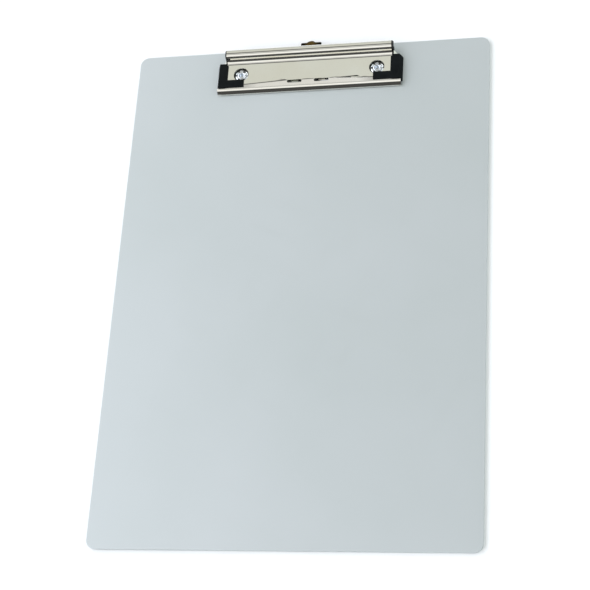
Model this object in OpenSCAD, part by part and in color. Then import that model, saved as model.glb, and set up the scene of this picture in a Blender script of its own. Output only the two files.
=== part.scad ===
// Low-profile clipboard: a flat aluminium board with a sprung metal clip along its top edge.
// X is to the right, Y runs up the board towards the clip and Z stands off the board.
// The origin is the middle of the board's back face, and every size is in millimetres.

/* [Board] */
// Width of the board
board_w = 230; // [215:1:260]
// Length of the board
board_l = 330; // [310:1:380]
// Thickness of the board's sheet
board_t = 2; // [1.5:0.1:4]
// Radius of the board's corners
corner_r = 5.5; // [2:0.5:20]

/* [Clip] */
// Width of the clip along its lip
clip_w = 119.6; // [112:0.2:150]
// Distance from the board's top edge to the front of the lip
clip_reach = 32.2; // [32.2:0.1:45]
// Height of the clamp plate's flat panel above the board
panel_h = 4.2; // [4.2:0.05:4.4]
// Height of the hump above the clamp plate's panel
hump_h = 5.2; // [5:0.1:7]
// Height of the lip's lower edge above the board
lip_gap = 0.45; // [0.4:0.05:0.6]
// Diameter of the access holes over the rivets
access_d = 9.8; // [9:0.1:11]
// Distance between the two rivets
rivet_span = 88.6; // [70:0.2:88.6]

/* [Hinge] */
// Diameter of the pivot rod
rod_d = 2.5; // [2:0.1:2.5]
// Gap all round the rod where it turns in the clamp plate
rod_clearance = 0.05; // [0.02:0.01:0.1]
// Diameter of the springs' wire
wire_d = 1; // [0.7:0.05:1]
// Number of turns in each spring
spring_turns = 8; // [4:1:9]

/* [Rubber corners] */
// Height of the rubber above the clamp plate's panel
rubber_h = 0.8; // [0.4:0.1:1.5]
// Length of each corner's arm along the lip
rubber_arm = 16.8; // [12:0.2:20]

/* [Hanger] */
// Width of the sliding hanger tab
hanger_w = 13.4; // [12:0.2:15]
// Thickness of the hanger tab
hanger_t = 1; // [0.6:0.05:1]
// Diameter of the hanging hole
eye_d = 6; // [4:0.2:6.4]

/* [Hidden] */
$fn = 64;

// Sheet steel of the base plate and the clamp plate, and the gap between moving sheets.
steel_t = 0.8;
side_gap = 0.4;

// Places along the board, from the lip back to the board's top edge.
top_y = board_l / 2;
lip_y = top_y - clip_reach;
knee_y = lip_y + 2.2;
crease_y = lip_y + 6.4;
foot_y = lip_y + 21.6;
pivot_y = foot_y + 3.3;
lever_y = foot_y + 8;
pivot_z = panel_h - 0.6;
crest_z = panel_h + hump_h;

// Places across the clip, measured from its middle.
half_w = clip_w / 2;
cheek_x = half_w - 5.9;
ear_x = cheek_x - steel_t - side_gap;
flange_x = half_w - 2;
flange_z = 0.9;
ear_r = 2.3;
cheek_r = 2.8;

// Rivets and the raised seats under their heads.
rivet_x = rivet_span / 2;
rivet_y = foot_y - 9;
rivet_r = 2.4;
rivet_head_r = 4.2;
seat_r = 4.8;
seat_h = 2;
petals = 6;

// Slots at the crease, where each spring's hook lies on a tongue of the clamp plate.
slot_x = 8.8;
slot_l = 9.6;
slot_w = 2;
hook_y = crease_y - 0.7;
hook_z = 2.6;

// Springs: a coil round the rod with one leg on the base plate and one under the panel.
wire_r = wire_d / 2;
coil_r = rod_d / 2 + 0.05 + wire_r;
coil_pitch = wire_d + 0.05;
coil_x = 14.6;

// Channel that the hanger slides in, and the hanger's outline.
hanger_lift = 0.15;
chamber_w = hanger_w + 5.6;
channel_h = hanger_lift * 2 + hanger_t;
base_front_y = rivet_y - seat_r;
base_back_y = top_y - 1.4;
neck_y = base_back_y - 2.4;
stop_y = base_front_y + 6;
shoulder_y = top_y + 3.4;
eye_y = top_y - 2.4;

// Rubber corners: they start behind the lip's knee and end at the lever.
rubber_y = lip_y + 3.4;
arm_back_y = lip_y + 8.6;
rubber_back_y = lip_y + 20.8;
pad_back_y = base_front_y - 0.4;
rubber_z = 0.1;
rubber_top = panel_h + rubber_h;

// Side view of the clamp plate's outer face, from the lever's edge to the lip's edge.
// Each corner is [y, z, radius of the bend].
knee_drop = 0.67;
face_run = 1.49;
face_drop = 1.78;
face_y = foot_y + 1.16;
face_back_y = face_y + 0.29;
lever_path = [[lever_y, panel_h + 1.2, 0],
              [lever_y, crest_z, 3],
              [face_back_y + face_run, crest_z, 2.6],
              [face_back_y, crest_z - face_drop, 0.8],
              [face_y, panel_h + face_drop, 0.8],
              [face_y - face_run, panel_h, 2.6]];
lip_path = [[crease_y, panel_h, 1.5],
            [knee_y, panel_h - knee_drop, 2.5],
            [lip_y, lip_gap + 0.65, 1],
            [lip_y, lip_gap, 0]];
lip_fall = knee_drop / (crease_y - knee_y);

// Height of the outer face at a place between the lip's knee and the crease.
function lip_height(y) = panel_h - lip_fall * (crease_y - y);

// A vector as one of length 1.
function unit(v) = v / norm(v);

// A flat vector turned anticlockwise by an angle in degrees.
function turned(v, angle) =
    [v.x * cos(angle) - v.y * sin(angle), v.x * sin(angle) + v.y * cos(angle)];

// Points round the bend at b of a sheet that runs from a to c, as [outer, inner] pairs.
// The inner face is on the left of the path.
function bend(a, b, c, steps = 10) =
    let (back = unit([a.x - b.x, a.y - b.y]),
         ahead = unit([c.x - b.x, c.y - b.y]),
         half_angle = acos(back * ahead) / 2,
         side = sign(cross(-back, ahead)),
         middle = [b.x, b.y] + unit(back + ahead) * b.z / sin(half_angle),
         arm = [b.x, b.y] + back * b.z / tan(half_angle) - middle,
         sweep = side * (180 - 2 * half_angle))
    [for (i = [0 : steps])
        let (spoke = turned(arm, sweep * i / steps))
        [middle + spoke, middle + spoke * (b.z - side * steel_t) / b.z]];

// The square-cut end of a sheet at tip, as one [outer, inner] pair, where ahead is the
// sheet's direction along the path.
function square_end(tip, ahead) =
    [[tip.x, tip.y], [tip.x, tip.y] + turned(unit(ahead), 90) * steel_t];

function step_between(a, b) = [b.x - a.x, b.y - a.y];

// Outline of a bent sheet along a path of corners.
function sheet_outline(path) =
    let (last = len(path) - 1,
         pairs = [square_end(path[0], step_between(path[0], path[1])),
                  for (i = [1 : last - 1]) each bend(path[i - 1], path[i], path[i + 1]),
                  square_end(path[last], step_between(path[last - 1], path[last]))])
    concat([for (p = pairs) p[0]], [for (i = [len(pairs) - 1 : -1 : 0]) pairs[i][1]]);

// Turns a side view drawn in Y and Z into a solid of one width, with its middle at x.
module side_solid(x, width) {
    translate([x, 0, 0])
        rotate([90, 0, 90])
            linear_extrude(height = width, center = true)
                children();
}

// Turns an end view drawn in X and Z into a solid that runs from one y to another.
module end_solid(from_y, to_y) {
    translate([0, to_y, 0])
        rotate([90, 0, 0])
            linear_extrude(height = to_y - from_y)
                children();
}

// Its child on the right and, mirrored, on the left.
module both_sides() {
    children();
    mirror([1, 0, 0])
        children();
}

// The clip's pieces are drawn with Z = 0 on the board's front face.
module on_board() {
    translate([0, 0, board_t])
        children();
}

// A round bar on the hinge's axis.
module hinge_bar(r, length) {
    translate([0, pivot_y, pivot_z])
        rotate([0, 90, 0])
            cylinder(h = length, r = r, center = true);
}

module board() {
    color("gainsboro")
        difference() {
            linear_extrude(height = board_t)
                round_cornered(board_w, board_l, corner_r);
            both_sides()
                translate([rivet_x, rivet_y, 0])
                    countersunk_hole();
        }
}

// A rectangle with true round corners, centred on the origin.
module round_cornered(w, l, r) {
    square([w - 2 * r, l], center = true);
    square([w, l - 2 * r], center = true);
    for (x = [-1, 1], y = [-1, 1])
        translate([x * (w / 2 - r), y * (l / 2 - r)])
            circle(r);
}

// Rivet hole through the board, countersunk on its back face.
module countersunk_hole() {
    translate([0, 0, -1])
        cylinder(h = board_t + 2, r = rivet_r + 0.05);
    translate([0, 0, -1])
        cylinder(h = 2, r1 = rivet_r + 2.05, r2 = rivet_r + 0.05);
}

module base_plate() {
    color("silver")
        on_board()
            difference() {
                union() {
                    base_sheet();
                    both_sides()
                        side_solid(ear_x - steel_t / 2, steel_t)
                            ear();
                }
                hinge_bar(rod_d / 2, clip_w);
            }
}

// Flat sheet under the clip, raised over the hanger and under the two rivets.
module base_sheet() {
    base_l = base_back_y - base_front_y;
    difference() {
        union() {
            translate([-ear_x, base_front_y, 0])
                cube([2 * ear_x, base_l, steel_t]);
            translate([-chamber_w / 2 - steel_t, base_front_y, 0])
                cube([chamber_w + 2 * steel_t, base_l, channel_h + steel_t]);
            both_sides()
                translate([rivet_x, rivet_y, 0])
                    cylinder(h = seat_h, r = seat_r);
        }
        translate([-chamber_w / 2, base_front_y - 1, -1])
            cube([chamber_w, neck_y - base_front_y + 1, channel_h + 1]);
        translate([-hanger_w / 2 - 0.3, neck_y - 1, -1])
            cube([hanger_w + 0.6, base_back_y - neck_y + 2, channel_h + 1]);
        both_sides()
            translate([rivet_x, rivet_y, 0])
                seat_hollow();
    }
}

// Hollow under a raised seat, with the rivet's hole through its top.
module seat_hollow() {
    translate([0, 0, -1])
        cylinder(h = seat_h - steel_t + 1, r = seat_r - steel_t);
    cylinder(h = seat_h + 1, r = rivet_r + 0.05);
}

// Side view of an upright ear that holds the pivot rod.
module ear() {
    translate([pivot_y, pivot_z])
        circle(ear_r);
    translate([pivot_y - ear_r, 0])
        square([2 * ear_r, pivot_z]);
}

module clamp_plate() {
    color("lightgray")
        on_board()
            difference() {
                union() {
                    pressed_sheet();
                    both_sides() {
                        side_solid(cheek_x - steel_t / 2, steel_t)
                            cheek();
                        side_flange();
                        side_solid(slot_x, 4.4)
                            tongue();
                    }
                }
                hinge_bar(rod_d / 2 + rod_clearance, 2 * cheek_x);
                both_sides() {
                    translate([rivet_x, rivet_y, flange_z])
                        cylinder(h = crest_z, d = access_d);
                    translate([slot_x, hook_y, hook_z - 0.1])
                        slot();
                }
            }
}

// Lever, panel and curved lip, which are one bent sheet. The lip is the widest part.
module pressed_sheet() {
    wing_y = rubber_y - 0.25;
    side_solid(0, 2 * cheek_x)
        polygon(sheet_outline(concat(lever_path, lip_path)));
    side_solid(0, clip_w)
        polygon(sheet_outline([[wing_y, lip_height(wing_y), 0],
                               lip_path[1], lip_path[2], lip_path[3]]));
}

// Side view of the cheek that closes an end of the lever and turns on the rod.
module cheek() {
    rounded_corners = [for (i = [1, 2, 3])
                           each bend(lever_path[i - 1], lever_path[i], lever_path[i + 1])];
    polygon([[lever_y, panel_h + 1.2],
             for (pair = rounded_corners) pair[0],
             [face_y + 0.1, panel_h + face_drop],
             [face_y + 0.1, panel_h]]);
    translate([pivot_y, pivot_z])
        circle(cheek_r);
}

// Flange that slopes out and down from the panel's side, and narrows beside the lever.
module side_flange() {
    tip_y = pivot_y + 0.4;
    intersection() {
        end_solid(crease_y, tip_y)
            polygon([[cheek_x - 0.6, panel_h], [cheek_x, panel_h], [flange_x, flange_z],
                     [flange_x - 1, flange_z], [cheek_x - 0.6, panel_h - steel_t]]);
        linear_extrude(height = crest_z)
            polygon([[cheek_x - 1, crease_y], [half_w, crease_y], [half_w, rubber_back_y - 0.6],
                     [cheek_x, tip_y], [cheek_x - 1, tip_y]]);
    }
}

// Side view of the tongue that hangs from the panel and hooks under a spring's end.
module tongue() {
    tongue_t = 0.6;
    back_y = hook_y + slot_w / 2;
    under_z = hook_z - wire_r - 0.05 - tongue_t;
    translate([back_y, under_z])
        square([tongue_t, panel_h - under_z - tongue_t]);
    translate([hook_y - 1.1, under_z])
        square([back_y - hook_y + 1.1, tongue_t]);
}

// A round-ended slot along X, cut upwards.
module slot() {
    linear_extrude(height = panel_h) {
        square([slot_l - slot_w, slot_w], center = true);
        for (x = [-1, 1])
            translate([x * (slot_l - slot_w) / 2, 0])
                circle(d = slot_w);
    }
}

module pivot_rod() {
    color("darkgray")
        on_board()
            hinge_bar(rod_d / 2, 2 * cheek_x - 0.2);
}

// Centre line of the right-hand spring's wire: the leg under the panel, the coil and the
// leg on the base plate.
spring_path = concat(
    [[coil_x, hook_y, hook_z], [coil_x, hook_y + 0.6, hook_z],
     [coil_x, hook_y + 3, pivot_z - coil_r]],
    [for (i = [0 : 12 * spring_turns])
        [coil_x + coil_pitch * i / 12,
         pivot_y + coil_r * sin(30 * i),
         pivot_z - coil_r * cos(30 * i)]],
    [[coil_x + coil_pitch * spring_turns, lever_y - 1.6, steel_t + wire_r]]);

// Direction of a path at one of its points.
function heading(path, i) =
    unit(path[min(i + 1, len(path) - 1)] - path[max(i - 1, 0)]);

// A wire along a path that never runs straight along X.
module wire(path, r, sides = 8) {
    rings = [for (i = [0 : len(path) - 1])
                let (ahead = heading(path, i),
                     across = unit(cross(ahead, [1, 0, 0])),
                     up = cross(ahead, across))
                for (k = [0 : sides - 1])
                    path[i] + r * (across * cos(360 * k / sides) + up * sin(360 * k / sides))];
    last = len(path) - 1;
    walls = [for (i = [0 : last - 1], k = [0 : sides - 1])
                [i * sides + k, (i + 1) * sides + k,
                 (i + 1) * sides + (k + 1) % sides, i * sides + (k + 1) % sides]];
    ends = [[for (k = [0 : sides - 1]) k],
            [for (k = [sides - 1 : -1 : 0]) last * sides + k]];
    polyhedron(rings, concat(walls, ends));
}

module spring_right() {
    color("gray")
        on_board() {
            wire(spring_path, wire_r);
            translate([coil_x, hook_y, hook_z]) {
                sphere(wire_r * 1.04);
                rotate([0, -90, 0])
                    cylinder(h = coil_x - slot_x + slot_l / 2 - 1, r = wire_r);
            }
        }
}

module spring_left() {
    mirror([1, 0, 0])
        spring_right();
}

module rivet_right() {
    color("whitesmoke")
        on_board()
            translate([rivet_x, rivet_y, 0])
                rivet();
}

module rivet_left() {
    mirror([1, 0, 0])
        rivet_right();
}

// Tubular rivet with a flush head on the board's back and a star-set head in the clip.
module rivet() {
    back_z = 0.1 - board_t;
    head_t = 0.8;
    barrel_h = seat_h + 1.4;
    difference() {
        union() {
            translate([0, 0, back_z])
                cylinder(h = 0.85, r1 = rivet_r + 0.85, r2 = rivet_r);
            translate([0, 0, back_z])
                cylinder(h = barrel_h - back_z, r = rivet_r);
            translate([0, 0, seat_h])
                cylinder(h = head_t, r = rivet_head_r);
            translate([0, 0, seat_h])
                cylinder(h = barrel_h - seat_h, r = rivet_r + 0.4);
        }
        translate([0, 0, 0.5])
            cylinder(h = barrel_h, r = rivet_r - 1);
        for (i = [1 : petals])
            rotate([0, 0, i * 360 / petals])
                translate([rivet_r + 0.8, -0.5, seat_h - 1])
                    cube([2, 1, head_t + 2]);
    }
}

module rubber_corner_right() {
    color("#222422")
        on_board() {
            rubber_side();
            rubber_front();
            rubber_foot();
        }
}

module rubber_corner_left() {
    mirror([1, 0, 0])
        rubber_corner_right();
}

// Arm that covers the side flange and runs down to the board. Its edge on the panel stops
// short of the lever.
module rubber_side() {
    edge_w = 0.7;
    end_solid(rubber_y, rubber_back_y)
        polygon([[cheek_x, panel_h], [flange_x, flange_z], [flange_x, rubber_z],
                 [half_w + 0.8, rubber_z], [half_w + 0.5, rubber_z + 1],
                 [half_w - 1.1, rubber_top], [cheek_x, rubber_top]]);
    translate([cheek_x - edge_w, rubber_y, panel_h])
        cube([edge_w + 0.1, foot_y - 2 - rubber_y, rubber_h]);
}

// Arm along the crease, on top of the panel and the start of the lip.
module rubber_front() {
    side_solid(half_w - rubber_arm / 2 - 0.8, rubber_arm)
        intersection() {
            translate([rubber_y, panel_h - 1])
                square([arm_back_y - rubber_y, rubber_h + 1]);
            polygon([[rubber_y, lip_height(rubber_y)], [crease_y, panel_h],
                     [arm_back_y, panel_h], [arm_back_y, rubber_top],
                     [rubber_y + 0.8, rubber_top], [rubber_y, rubber_top - 0.4]]);
        }
}

// Foot under the panel and the lip, which presses the papers on the board.
module rubber_foot() {
    inner_x = half_w - rubber_arm - 0.8;
    front_y = lip_y + 1.2;
    side_solid((inner_x + cheek_x - 0.8) / 2, cheek_x - 0.8 - inner_x)
        polygon([[front_y, rubber_z], [pad_back_y, rubber_z], [pad_back_y, panel_h - steel_t],
                 [crease_y + 0.1, panel_h - steel_t], [front_y + 2, panel_h - 1.8],
                 [front_y + 0.5, panel_h - 2.8], [front_y, lip_gap + 0.45]]);
    translate([inner_x, front_y, rubber_z])
        cube([half_w - 1.2 - inner_x, rubber_y + 0.4 - front_y, flange_z - rubber_z]);
}

module hanger() {
    stop_l = 2.3;
    color("#4c4532")
        on_board()
            translate([0, 0, hanger_lift])
                linear_extrude(height = hanger_t)
                    difference() {
                        union() {
                            translate([-chamber_w / 2 + 0.3, stop_y])
                                square([chamber_w - 0.6, stop_l]);
                            hanger_top();
                        }
                        translate([0, eye_y])
                            circle(d = eye_d);
                    }
}

// Square shoulders of the hanger with a small grip in their middle.
module hanger_top() {
    shoulder_r = 0.8;
    grip_r = 3.7;
    grip_h = 1.2;
    translate([-hanger_w / 2, stop_y])
        square([hanger_w, shoulder_y - shoulder_r - stop_y]);
    translate([-hanger_w / 2 + shoulder_r, eye_y])
        square([hanger_w - 2 * shoulder_r, shoulder_y - eye_y]);
    for (side = [-1, 1])
        translate([side * (hanger_w / 2 - shoulder_r), shoulder_y - shoulder_r])
            circle(shoulder_r);
    translate([0, shoulder_y + grip_h - grip_r])
        circle(grip_r);
}

board();
base_plate();
clamp_plate();
pivot_rod();
spring_left();
spring_right();
rivet_left();
rivet_right();
rubber_corner_left();
rubber_corner_right();
hanger();
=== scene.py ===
import math
import bmesh
import bpy
from mathutils import Matrix, Vector


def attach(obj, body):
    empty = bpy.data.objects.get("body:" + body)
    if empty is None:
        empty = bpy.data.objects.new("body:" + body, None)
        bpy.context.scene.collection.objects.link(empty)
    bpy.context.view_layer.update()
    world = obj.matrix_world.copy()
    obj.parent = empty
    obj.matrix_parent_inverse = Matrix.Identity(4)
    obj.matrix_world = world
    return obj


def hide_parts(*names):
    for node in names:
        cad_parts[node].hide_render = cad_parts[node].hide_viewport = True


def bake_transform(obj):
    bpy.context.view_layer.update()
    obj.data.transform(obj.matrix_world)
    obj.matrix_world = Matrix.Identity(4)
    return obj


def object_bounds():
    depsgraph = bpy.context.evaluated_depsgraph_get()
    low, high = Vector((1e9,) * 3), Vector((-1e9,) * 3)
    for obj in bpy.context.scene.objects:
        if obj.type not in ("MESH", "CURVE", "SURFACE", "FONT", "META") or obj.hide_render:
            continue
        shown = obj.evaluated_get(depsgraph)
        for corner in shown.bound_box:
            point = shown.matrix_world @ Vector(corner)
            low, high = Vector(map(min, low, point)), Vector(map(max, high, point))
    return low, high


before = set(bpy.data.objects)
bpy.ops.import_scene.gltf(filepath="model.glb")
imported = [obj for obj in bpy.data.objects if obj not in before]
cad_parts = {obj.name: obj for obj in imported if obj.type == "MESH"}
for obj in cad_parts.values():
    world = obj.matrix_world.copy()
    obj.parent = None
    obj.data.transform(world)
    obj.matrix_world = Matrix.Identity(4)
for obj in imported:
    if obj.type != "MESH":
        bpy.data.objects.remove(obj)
cadBox = [list(corner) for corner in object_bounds()]
mm = 0.001  # every length is in metres, so 2 * mm is two millimetres
print("frame loaded:", len(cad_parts), "nodes")


# ---- Helpers for node trees ----

def newMaterial(name):
    material = bpy.data.materials.new(name)
    material.use_nodes = True
    return material, material.node_tree, material.node_tree.nodes["Principled BSDF"]


def addNode(tree, kind, place=(0, 0), **values):
    node = tree.nodes.new(kind)
    node.location = place
    for key, value in values.items():
        setattr(node, key, value)
    return node


def mathNode(tree, operation, a, b=0.0, place=(0, 0)):
    # a and b are numbers or sockets
    node = addNode(tree, "ShaderNodeMath", place, operation=operation)
    for socket, value in zip(node.inputs, (a, b)):
        if isinstance(value, (int, float)):
            socket.default_value = value
        else:
            tree.links.new(value, socket)
    return node.outputs[0]


def rangeNode(tree, value, low, high, toLow=0.0, toHigh=1.0, place=(0, 0)):
    node = addNode(tree, "ShaderNodeMapRange", place)
    tree.links.new(value, node.inputs["Value"])
    node.inputs["From Min"].default_value = low
    node.inputs["From Max"].default_value = high
    node.inputs["To Min"].default_value = toLow
    node.inputs["To Max"].default_value = toHigh
    return node.outputs["Result"]


def mixColours(tree, amount, first, second, place=(0, 0)):
    node = addNode(tree, "ShaderNodeMix", place, data_type="RGBA")
    if isinstance(amount, float):
        node.inputs[0].default_value = amount
    else:
        tree.links.new(amount, node.inputs[0])
    for socket, value in ((node.inputs[6], first), (node.inputs[7], second)):
        if isinstance(value, tuple):
            socket.default_value = value
        else:
            tree.links.new(value, socket)
    return node.outputs[2]


def placeGroup(tree, group, place=(0, 0), **values):
    node = addNode(tree, "ShaderNodeGroup", place, node_tree=group)
    for key, value in values.items():
        node.inputs[key].default_value = value
    return node


def startGroup(name, inputs, outputs):
    group = bpy.data.node_groups.new(name, "ShaderNodeTree")
    for label, default in inputs:
        socket = group.interface.new_socket(label, in_out="INPUT", socket_type="NodeSocketFloat")
        socket.default_value = default
    for label, kind in outputs:
        group.interface.new_socket(label, in_out="OUTPUT", socket_type=kind)
    return group, addNode(group, "NodeGroupInput", (-900, 0)), addNode(group, "NodeGroupOutput", (600, 0))


# ---- Shared effects ----

def makeCloudGroup():
    # soft patches, from 0 to 1
    group, into, out = startGroup("softPatches", [("Scale", 20.0), ("Detail", 2.0)],
                                  [("Mask", "NodeSocketFloat")])
    place = addNode(group, "ShaderNodeTexCoord", (-900, -250))
    noise = addNode(group, "ShaderNodeTexNoise", (-500, 0))
    group.links.new(place.outputs["Object"], noise.inputs["Vector"])
    group.links.new(into.outputs["Scale"], noise.inputs["Scale"])
    group.links.new(into.outputs["Detail"], noise.inputs["Detail"])
    group.links.new(rangeNode(group, noise.outputs["Fac"], 0.3, 0.7, place=(-200, 0)), out.inputs["Mask"])
    return group


def makeGrainGroup():
    # fine all-over grain for a bump, and the same grain as a mask
    group, into, out = startGroup("fineGrain", [("Scale", 1500.0), ("Strength", 0.1), ("Depth", 0.00002)],
                                  [("Mask", "NodeSocketFloat"), ("Normal", "NodeSocketVector")])
    place = addNode(group, "ShaderNodeTexCoord", (-900, -250))
    noise = addNode(group, "ShaderNodeTexNoise", (-500, 0))
    noise.inputs["Detail"].default_value = 3.0
    group.links.new(place.outputs["Object"], noise.inputs["Vector"])
    group.links.new(into.outputs["Scale"], noise.inputs["Scale"])
    bump = addNode(group, "ShaderNodeBump", (100, -100))
    group.links.new(noise.outputs["Fac"], bump.inputs["Height"])
    group.links.new(into.outputs["Strength"], bump.inputs["Strength"])
    group.links.new(into.outputs["Depth"], bump.inputs["Distance"])
    group.links.new(noise.outputs["Fac"], out.inputs["Mask"])
    group.links.new(bump.outputs["Normal"], out.inputs["Normal"])
    return group


def makeScratchGroup():
    # a few thin straight marks in two directions
    group, into, out = startGroup("fineScratches", [("Scale", 60.0), ("Amount", 0.5)],
                                  [("Mask", "NodeSocketFloat")])
    place = addNode(group, "ShaderNodeTexCoord", (-1300, -250))
    masks = []
    for step, (angle, stretch) in enumerate(((24, 0.03), (-61, 0.05))):
        turn = addNode(group, "ShaderNodeMapping", (-1050, -300 * step))
        turn.inputs["Rotation"].default_value = (0, 0, math.radians(angle))
        group.links.new(place.outputs["Object"], turn.inputs["Vector"])
        thin = addNode(group, "ShaderNodeMapping", (-850, -300 * step))
        thin.inputs["Scale"].default_value = (stretch, 1, 1)
        group.links.new(turn.outputs["Vector"], thin.inputs["Vector"])
        noise = addNode(group, "ShaderNodeTexNoise", (-600, -300 * step))
        noise.inputs["Detail"].default_value = 2.0
        group.links.new(thin.outputs["Vector"], noise.inputs["Vector"])
        group.links.new(mathNode(group, "MULTIPLY", into.outputs["Scale"], 30.0, (-800, 200)),
                        noise.inputs["Scale"])
        masks.append(rangeNode(group, noise.outputs["Fac"], 0.66, 0.72, place=(-350, -300 * step)))
    both = mathNode(group, "MAXIMUM", masks[0], masks[1], (0, 0))
    group.links.new(mathNode(group, "MULTIPLY", both, into.outputs["Amount"], (250, 0)), out.inputs["Mask"])
    return group


def makeWearGroup():
    # 1 along sharp edges, broken up by noise
    group, into, out = startGroup("edgeWear", [("Width", 0.0006), ("Breakup", 150.0)],
                                  [("Mask", "NodeSocketFloat")])
    rounded = addNode(group, "ShaderNodeBevel", (-600, 100), samples=4)
    group.links.new(into.outputs["Width"], rounded.inputs["Radius"])
    surface = addNode(group, "ShaderNodeNewGeometry", (-600, -100))
    dot = addNode(group, "ShaderNodeVectorMath", (-350, 0), operation="DOT_PRODUCT")
    group.links.new(rounded.outputs["Normal"], dot.inputs[0])
    group.links.new(surface.outputs["Normal"], dot.inputs[1])
    edge = rangeNode(group, dot.outputs["Value"], 0.995, 0.88, place=(-150, 0))
    place = addNode(group, "ShaderNodeTexCoord", (-900, -350))
    noise = addNode(group, "ShaderNodeTexNoise", (-400, -350))
    group.links.new(place.outputs["Object"], noise.inputs["Vector"])
    group.links.new(into.outputs["Breakup"], noise.inputs["Scale"])
    broken = rangeNode(group, noise.outputs["Fac"], 0.35, 0.6, 0.3, 1.0, place=(-150, -350))
    group.links.new(mathNode(group, "MULTIPLY", edge, broken, (200, 0)), out.inputs["Mask"])
    return group


softPatches = makeCloudGroup()
fineGrain = makeGrainGroup()
fineScratches = makeScratchGroup()
edgeWear = makeWearGroup()
print("shared effects ready")


# ---- Finishes ----

boardFinish = {"colour": (0.585, 0.625, 0.632, 1), "patchColour": (0.555, 0.60, 0.600, 1),
               "wornColour": (0.80, 0.83, 0.85, 1), "roughness": 0.44}


def makeSatinSheet(values):
    material, tree, shader = newMaterial("satinSheet")
    patches = placeGroup(tree, softPatches, (-900, 300), Scale=9.0, Detail=3.0)
    colour = mixColours(tree, patches.outputs["Mask"], values["colour"], values["patchColour"], (-600, 300))
    worn = placeGroup(tree, edgeWear, (-900, 0), Width=0.5 * mm, Breakup=260.0)
    edge = mathNode(tree, "MULTIPLY", worn.outputs["Mask"], 0.55, (-650, 50))
    colour = mixColours(tree, edge, colour, values["wornColour"], (-350, 300))
    tree.links.new(colour, shader.inputs["Base Color"])
    grain = placeGroup(tree, fineGrain, (-900, -300), Scale=1700.0, Strength=0.12, Depth=0.00001)
    marks = placeGroup(tree, fineScratches, (-900, -600), Scale=14.0, Amount=0.06)
    rough = rangeNode(tree, grain.outputs["Mask"], 0.3, 0.7, values["roughness"] - 0.04,
                      values["roughness"] + 0.04, (-600, -200))
    rough = mathNode(tree, "SUBTRACT", rough, marks.outputs["Mask"], (-350, -200))
    tree.links.new(rough, shader.inputs["Roughness"])
    tree.links.new(grain.outputs["Normal"], shader.inputs["Normal"])
    shader.inputs["Metallic"].default_value = 0.55
    return material


nickelFinish = {"colour": (0.90, 0.895, 0.835, 1), "patchColour": (0.87, 0.85, 0.77, 1), "roughness": 0.035}


def makeBrightNickel(values):
    material, tree, shader = newMaterial("brightNickel")
    patches = placeGroup(tree, softPatches, (-900, 300), Scale=45.0, Detail=4.0)
    colour = mixColours(tree, patches.outputs["Mask"], values["colour"], values["patchColour"], (-600, 300))
    tree.links.new(colour, shader.inputs["Base Color"])
    marks = placeGroup(tree, fineScratches, (-900, 0), Scale=30.0, Amount=0.06)
    rough = mathNode(tree, "ADD", marks.outputs["Mask"], values["roughness"], (-600, 0))
    tree.links.new(rough, shader.inputs["Roughness"])
    waves = placeGroup(tree, fineGrain, (-900, -300), Scale=70.0, Strength=0.05, Depth=0.00002)
    tree.links.new(waves.outputs["Normal"], shader.inputs["Normal"])
    shader.inputs["Metallic"].default_value = 1.0
    return material


def makePlainMetal(name, colour, darkColour, roughness, grainScale, patchScale=120.0, strength=0.2):
    # rolled or drawn metal with slightly uneven colour and grain
    material, tree, shader = newMaterial(name)
    patches = placeGroup(tree, softPatches, (-900, 300), Scale=patchScale, Detail=4.0)
    tree.links.new(mixColours(tree, patches.outputs["Mask"], colour, darkColour, (-600, 300)),
                   shader.inputs["Base Color"])
    grain = placeGroup(tree, fineGrain, (-900, -200), Scale=grainScale, Strength=strength, Depth=0.00001)
    tree.links.new(rangeNode(tree, grain.outputs["Mask"], 0.3, 0.7, roughness * 0.7, roughness * 1.3,
                             (-600, -100)), shader.inputs["Roughness"])
    tree.links.new(grain.outputs["Normal"], shader.inputs["Normal"])
    shader.inputs["Metallic"].default_value = 1.0
    return material


rubberFinish = {"colour": (0.0045, 0.0058, 0.0062, 1), "wornColour": (0.022, 0.025, 0.026, 1)}


def makeBlackRubber(values):
    material, tree, shader = newMaterial("blackRubber")
    worn = placeGroup(tree, edgeWear, (-900, 200), Width=0.35 * mm, Breakup=400.0)
    dust = placeGroup(tree, softPatches, (-900, 0), Scale=260.0, Detail=5.0)
    mask = mathNode(tree, "MULTIPLY_ADD", worn.outputs["Mask"], 0.5, (-650, 150))
    tree.links.new(mathNode(tree, "MULTIPLY", dust.outputs["Mask"], 0.22, (-800, -100)),
                   mask.node.inputs[2])
    tree.links.new(mixColours(tree, mask, values["colour"], values["wornColour"], (-400, 200)),
                   shader.inputs["Base Color"])
    grain = placeGroup(tree, fineGrain, (-900, -300), Scale=3200.0, Strength=0.3, Depth=0.00003)
    tree.links.new(rangeNode(tree, grain.outputs["Mask"], 0.3, 0.7, 0.5, 0.7, (-600, -200)),
                   shader.inputs["Roughness"])
    tree.links.new(grain.outputs["Normal"], shader.inputs["Normal"])
    shader.inputs["Specular IOR Level"].default_value = 0.05
    return material


# darkColour serves both the painted shade at the tab's sides and its random darker patches.
bronzeFinish = {"colour": (0.12, 0.078, 0.020, 1), "darkColour": (0.010, 0.008, 0.005, 1),
                "halfWidth": 5.2 * mm}


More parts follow.
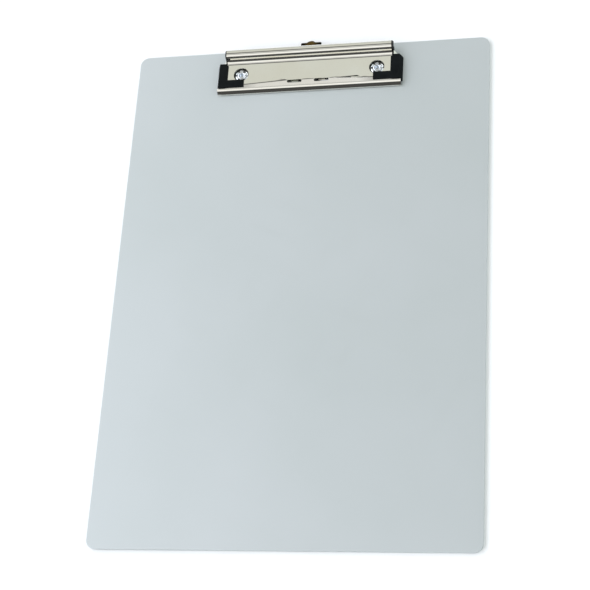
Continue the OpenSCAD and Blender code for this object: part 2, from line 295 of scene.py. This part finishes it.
def makeDarkBronze(values):
    # blackened brass, darker towards both sides of the tab as painted shade, with random darker patches
    material, tree, shader = newMaterial("darkBronze")
    place = addNode(tree, "ShaderNodeTexCoord", (-1100, 200))
    split = addNode(tree, "ShaderNodeSeparateXYZ", (-900, 200))
    tree.links.new(place.outputs["Object"], split.inputs["Vector"])
    side = mathNode(tree, "ABSOLUTE", split.outputs["X"], place=(-700, 200))
    # painted shade: the colour runs to darkColour towards both sides of the tab
    dark = rangeNode(tree, side, 0.3 * values["halfWidth"], values["halfWidth"], place=(-500, 200))
    patches = placeGroup(tree, softPatches, (-900, -50), Scale=500.0, Detail=4.0)
    spread = mathNode(tree, "MULTIPLY", patches.outputs["Mask"], 0.35, (-700, -50))
    mask = mathNode(tree, "ADD", dark, spread, (-300, 100))
    mask.node.use_clamp = True
    tree.links.new(mixColours(tree, mask, values["colour"], values["darkColour"], (-150, 200)),
                   shader.inputs["Base Color"])
    grain = placeGroup(tree, fineGrain, (-900, -300), Scale=2500.0, Strength=0.2, Depth=0.00001)
    tree.links.new(rangeNode(tree, grain.outputs["Mask"], 0.3, 0.7, 0.28, 0.45, (-500, -250)),
                   shader.inputs["Roughness"])
    tree.links.new(grain.outputs["Normal"], shader.inputs["Normal"])
    shader.inputs["Metallic"].default_value = 0.85
    return material


satinSheet = makeSatinSheet(boardFinish)
brightNickel = makeBrightNickel(nickelFinish)
blackRubber = makeBlackRubber(rubberFinish)
darkBronze = makeDarkBronze(bronzeFinish)
# Dull steel for the base plate, darkened below its own tone as painted shade for the gaps between the rivet
# petals.
dullSteelAndPaintedShade = makePlainMetal("dullSteelAndPaintedShade", (0.30, 0.30, 0.29, 1), (0.20, 0.20, 0.19, 1), 0.35, 900.0)
# A near-black finish for the lever's end faces and their rims: painted shade for the dark ends of the
# lever.
paintedShadeEnd = makePlainMetal("paintedShadeEnd", (0.020, 0.021, 0.022, 1), (0.010, 0.010, 0.011, 1), 0.4, 1200.0)
rodSteel = makePlainMetal("rodSteel", (0.45, 0.45, 0.45, 1), (0.30, 0.30, 0.30, 1), 0.22, 1500.0)
springWire = makePlainMetal("springWire", (0.32, 0.32, 0.31, 1), (0.20, 0.20, 0.19, 1), 0.25, 2200.0, 300.0)
rivetMetal = makePlainMetal("rivetMetal", (0.84, 0.87, 0.90, 1), (0.62, 0.66, 0.70, 1), 0.16, 1800.0, 700.0)
print("finishes ready")


# ---- Pieces ----

def cleanCopy(name):
    # a merged copy of a CAD node's mesh, with its flat faces joined up
    bm = bmesh.new()
    bm.from_mesh(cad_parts[name].data)
    bmesh.ops.remove_doubles(bm, verts=bm.verts, dist=0.002 * mm)
    bmesh.ops.dissolve_limit(bm, angle_limit=math.radians(0.4), verts=bm.verts, edges=bm.edges,
                             delimit=set())
    return bm


def makePiece(bm, name, materials, body, nodes, roundedBy=0.0, segments=3):
    mesh = bpy.data.meshes.new(name)
    bm.to_mesh(mesh)
    bm.free()
    mesh.polygons.foreach_set("use_smooth", [True] * len(mesh.polygons))
    piece = bpy.data.objects.new(name, mesh)
    bpy.context.scene.collection.objects.link(piece)
    for material in materials:
        mesh.materials.append(material)
    if roundedBy:
        rounding = piece.modifiers.new("rounding", "BEVEL")
        rounding.width = roundedBy
        rounding.segments = segments
        rounding.limit_method = "ANGLE"
        rounding.angle_limit = math.radians(28)
        rounding.use_clamp_overlap = True
        flat = piece.modifiers.new("flatFaces", "WEIGHTED_NORMAL")
        flat.keep_sharp = True
    if body:
        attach(piece, body)
    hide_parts(*nodes)
    return piece


boardShape = {"edgeRadius": 0.55 * mm, "segments": 4}
makePiece(cleanCopy("board"), "boardSheet", [satinSheet], "board", ["board"],
          boardShape["edgeRadius"], boardShape["segments"])
print("board ready")

# Clamp plate: the fold in front of the panel bows towards the lip at both ends, shallow
# slopes lead into the fold and into the lever, and the lever's ends bulge a little.
clampShape = {"panelZ": 6.2 * mm, "sliceGap": 4 * mm, "bow": 1.5 * mm, "bowFrom": 14 * mm, "bowTo": 42 * mm,
              "foldY": 139.2 * mm, "foldStartY": 140.1 * mm, "foldDrop": 0.06 * mm,
              "footY": 152.5 * mm, "footEndY": 153.6 * mm, "footSlope": 0.07,
              "topBackY": 159.4 * mm, "topFrontY": 158.55 * mm, "topDrop": 0.06 * mm,
              "cheekX": 53.8 * mm, "cheekArea": 20 * mm * mm, "cheekBulge": 0.9 * mm,
              "cheekRim": 0.55 * mm, "edgeRadius": 0.18 * mm}


def shapeClamp(bm, values):
    cuts = [((step * values["sliceGap"], 0, 0), (1, 0, 0)) for step in range(-14, 15)]
    cuts += [((0, y, 0), (0, 1, 0)) for y in (values["foldStartY"], values["footY"])]
    for place, direction in cuts:
        bmesh.ops.bisect_plane(bm, geom=bm.verts[:] + bm.edges[:] + bm.faces[:], dist=0.0005 * mm,
                               plane_co=place, plane_no=direction)
    top = values["panelZ"] - 0.05 * mm
    for vert in bm.verts:
        x, y, z = vert.co
        onFold = abs(y - values["foldY"]) < 0.2 * mm and z > top
        if onFold:
            vert.co.z -= values["foldDrop"]
        if (onFold or abs(y - values["foldStartY"]) < 0.05 * mm) and abs(x) > values["bowFrom"]:
            share = (abs(x) - values["bowFrom"]) / (values["bowTo"] - values["bowFrom"])
            vert.co.y -= values["bow"] * min(share, 1.0)
        if values["footY"] < y < values["footEndY"] and z > top:
            vert.co.z = max(z, values["panelZ"] + values["footSlope"] * (y - values["footY"]))
        if z > 8.5 * mm and y < values["topBackY"] - 0.01 * mm:
            share = (values["topBackY"] - y) / (values["topBackY"] - values["topFrontY"])
            vert.co.z -= values["topDrop"] * min(share, 1.0)
    bm.normal_update()
    cheeks = [face for face in bm.faces
              if abs(face.normal.x) > 0.95 and face.calc_area() > values["cheekArea"]
              and abs(face.calc_center_median().x) > values["cheekX"]]
    rims = bmesh.ops.inset_individual(bm, faces=cheeks, thickness=values["cheekRim"],
                                      use_even_offset=False)["faces"]
    for face in cheeks:
        outward = math.copysign(values["cheekBulge"], face.normal.x)
        bmesh.ops.translate(bm, verts=face.verts, vec=(outward, 0, 0))
    # The bulged cheek faces and their rims take the near-black finish, painted shade at the lever's ends.
    for face in cheeks + rims:
        face.material_index = 1


bm = cleanCopy("clamp_plate")
shapeClamp(bm, clampShape)
makePiece(bm, "clampPlate", [brightNickel, paintedShadeEnd], "clamp", ["clamp_plate"],
          clampShape["edgeRadius"], 3)
print("clamp plate ready")

rubberShape = {"edgeRadius": 0.32 * mm, "segments": 4}
for side in ("left", "right"):
    node = "rubber_corner_" + side
    makePiece(cleanCopy(node), "rubberCorner_" + side, [blackRubber], "clamp", [node],
              rubberShape["edgeRadius"], rubberShape["segments"])
print("rubber corners ready")

smallParts = {"baseEdgeRadius": 0.15 * mm, "hangerEdgeRadius": 0.2 * mm}
makePiece(cleanCopy("base_plate"), "basePlate", [dullSteelAndPaintedShade], "board", ["base_plate"],
          smallParts["baseEdgeRadius"])
makePiece(cleanCopy("hanger"), "hangerTab", [darkBronze], "hanger", ["hanger"],
          smallParts["hangerEdgeRadius"])
print("base plate and hanger ready")

# Springs: smoothed copies of the spring wires, fixed in place and attached to no body.
for side in ("left", "right"):
    node = "spring_" + side
    spring = makePiece(cleanCopy(node), "spring_" + side + "_wire", [springWire], None, [node])
    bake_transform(spring)
print("springs ready")

# Star-set rivets: a rolled barrel with petals that curl down on the seat.
rivetShape = {"x": 44.3 * mm, "y": 145.4 * mm, "petals": 6, "petalAngle": 38, "turn": 12, "sheet": 0.4 * mm,
              "edgeRadius": 0.08 * mm,
              "barrel": [(0.0, 2.9), (1.35, 2.9), (1.4, 4.9), (1.6, 5.3), (2.0, 5.4), (2.4, 5.3),
                         (2.7, 4.95), (2.75, 4.1), (2.4, 4.0), (2.4, 1.3), (3.1, 0.35), (0.0, 0.35)],
              "petal": [(2.5, 5.2), (3.0, 5.25), (3.6, 5.15), (4.2, 4.85), (4.5, 4.4)]}


def spinProfile(bm, points, turnBy, steps, closed):
    verts = [bm.verts.new((r * mm, 0, z * mm)) for r, z in points]
    edges = [bm.edges.new(pair) for pair in zip(verts, verts[1:])]
    bmesh.ops.spin(bm, geom=verts + edges, cent=(0, 0, 0), axis=(0, 0, 1), angle=turnBy, steps=steps,
                   use_merge=closed)


def makeRivet(name, side, values):
    bm = bmesh.new()
    spinProfile(bm, values["barrel"], 2 * math.pi, 40, True)
    bmesh.ops.remove_doubles(bm, verts=bm.verts, dist=0.005 * mm)
    petal = bmesh.new()
    spinProfile(petal, values["petal"], math.radians(values["petalAngle"]), 8, False)
    bmesh.ops.recalc_face_normals(petal, faces=petal.faces)
    if sum(face.normal.z for face in petal.faces) < 0:
        bmesh.ops.reverse_faces(petal, faces=petal.faces)
    bmesh.ops.solidify(petal, geom=petal.faces[:], thickness=values["sheet"])
    sample = bpy.data.meshes.new("petal")
    petal.to_mesh(sample)
    petal.free()
    for step in range(values["petals"]):
        before = len(bm.verts)
        bm.from_mesh(sample)
        bm.verts.ensure_lookup_table()
        turn = math.radians(values["turn"]) + step * 2 * math.pi / values["petals"]
        bmesh.ops.rotate(bm, verts=bm.verts[before:], cent=(0, 0, 0), matrix=Matrix.Rotation(turn, 3, "Z"))
    bmesh.ops.recalc_face_normals(bm, faces=bm.faces)
    bmesh.ops.translate(bm, verts=bm.verts, vec=(side * values["x"], values["y"], 0))
    makePiece(bm, name, [rivetMetal], "board", [name.replace("Star", "")],
              values["edgeRadius"], 2)


makeRivet("rivet_leftStar", -1, rivetShape)
makeRivet("rivet_rightStar", 1, rivetShape)
print("rivets ready")

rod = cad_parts["pivot_rod"]
rod.data.materials.clear()
rod.data.materials.append(rodSteel)
print("rod ready")


# ---- Camera ----

cameraSet = {"target": (-0.06 * mm, -8.69 * mm, 2 * mm), "azimuth": 29.147, "elevation": 63.738,
             "distance": 911.21 * mm, "roll": -28.128, "lens": 92.27}


def placeCamera(values):
    azimuth = math.radians(values["azimuth"])
    elevation = math.radians(values["elevation"])
    outward = Vector((math.sin(azimuth) * math.cos(elevation),
                      -math.cos(azimuth) * math.cos(elevation),
                      math.sin(elevation)))
    camera = bpy.data.objects.new("camera", bpy.data.cameras.new("camera"))
    camera.data.lens = values["lens"]
    camera.data.clip_end = 20
    camera.location = Vector(values["target"]) + outward * values["distance"]
    turn = (-outward).to_track_quat("-Z", "Y")
    roll = Matrix.Rotation(math.radians(values["roll"]), 3, "Z")
    camera.rotation_euler = (turn.to_matrix() @ roll).to_euler()
    bpy.context.scene.collection.objects.link(camera)
    bpy.context.scene.camera = camera


placeCamera(cameraSet)
print("camera ready")


# ---- Floor and light ----

stageSet = {"floorSize": 6.0, "floorColour": (0.95, 0.95, 0.95, 1)}

# Each pair is an angle in degrees and a brightness, round the clip's long direction: from
# the horizon behind it (0), over the ceiling (90) to the horizon in front of it (180).
studioBands = [(0, 0.35), (14, 0.50), (24, 0.66), (61, 0.70), (63.5, 0.16), (70, 0.16), (73, 0.80),
               (82, 0.80), (88, 0.50), (100, 0.50), (106, 1.02), (147, 1.02), (151, 0.07), (176, 0.07),
               (180, 0.12)]
studioTint = {61: (1.0, 1.02, 0.955), 24: (1.0, 1.02, 0.955)}
# Soft lights that fill the sky at the left and right, beyond the bands.
sideLights = {"left": (2.85, 2.90, 3.15, 1), "right": (1.05, 1.22, 1.22, 1), "from": 0.36, "to": 0.60}


def makeFloor(values):
    bm = bmesh.new()
    bmesh.ops.create_grid(bm, x_segments=1, y_segments=1, size=values["floorSize"] / 2)
    mesh = bpy.data.meshes.new("floor")
    bmesh.ops.translate(bm, verts=bm.verts, vec=(0, 0, cadBox[0][2] - 0.02 * mm))
    bm.to_mesh(mesh)
    bm.free()
    floor = bpy.data.objects.new("floor", mesh)
    bpy.context.scene.collection.objects.link(floor)
    material, tree, shader = newMaterial("paleFloor")
    shader.inputs["Base Color"].default_value = values["floorColour"]
    shader.inputs["Roughness"].default_value = 0.9
    shader.inputs["Specular IOR Level"].default_value = 0.0
    mesh.materials.append(material)


def makeStudio(bands, tints, sides):
    world = bpy.data.worlds.new("studio")
    world.use_nodes = True
    bpy.context.scene.world = world
    tree = world.node_tree
    backdrop = tree.nodes["Background"]
    place = addNode(tree, "ShaderNodeTexCoord", (-1100, 0))
    split = addNode(tree, "ShaderNodeSeparateXYZ", (-900, 0))
    tree.links.new(place.outputs["Generated"], split.inputs["Vector"])
    angle = mathNode(tree, "ARCTAN2", split.outputs["Z"], split.outputs["Y"], (-700, 0))
    share = mathNode(tree, "DIVIDE", angle, math.pi, (-500, 0))
    ramp = addNode(tree, "ShaderNodeValToRGB", (-300, 0))
    tree.links.new(share, ramp.inputs["Fac"])
    stops = ramp.color_ramp.elements
    while len(stops) < len(bands):
        stops.new(0.5)
    for stop, (degrees, value) in zip(stops, bands):
        tint = tints.get(degrees, (1, 1, 1))
        stop.position = degrees / 180
        stop.color = (value * tint[0], value * tint[1], value * tint[2], 1)
    colour = ramp.outputs["Color"]
    above = rangeNode(tree, split.outputs["Z"], 0.2, 0.42, place=(-500, -500))
    for name, sign in (("left", -1), ("right", 1)):
        side = rangeNode(tree, split.outputs["X"], sign * sides["from"], sign * sides["to"],
                         place=(-500, -250))
        side = mathNode(tree, "MULTIPLY", side, above, (-300, -250))
        colour = mixColours(tree, side, colour, sides[name], (-50, 0))
    tree.links.new(colour, backdrop.inputs["Color"])


makeFloor(stageSet)
makeStudio(studioBands, studioTint, sideLights)
bpy.context.scene.view_settings.view_transform = "Standard"
print("stage ready")
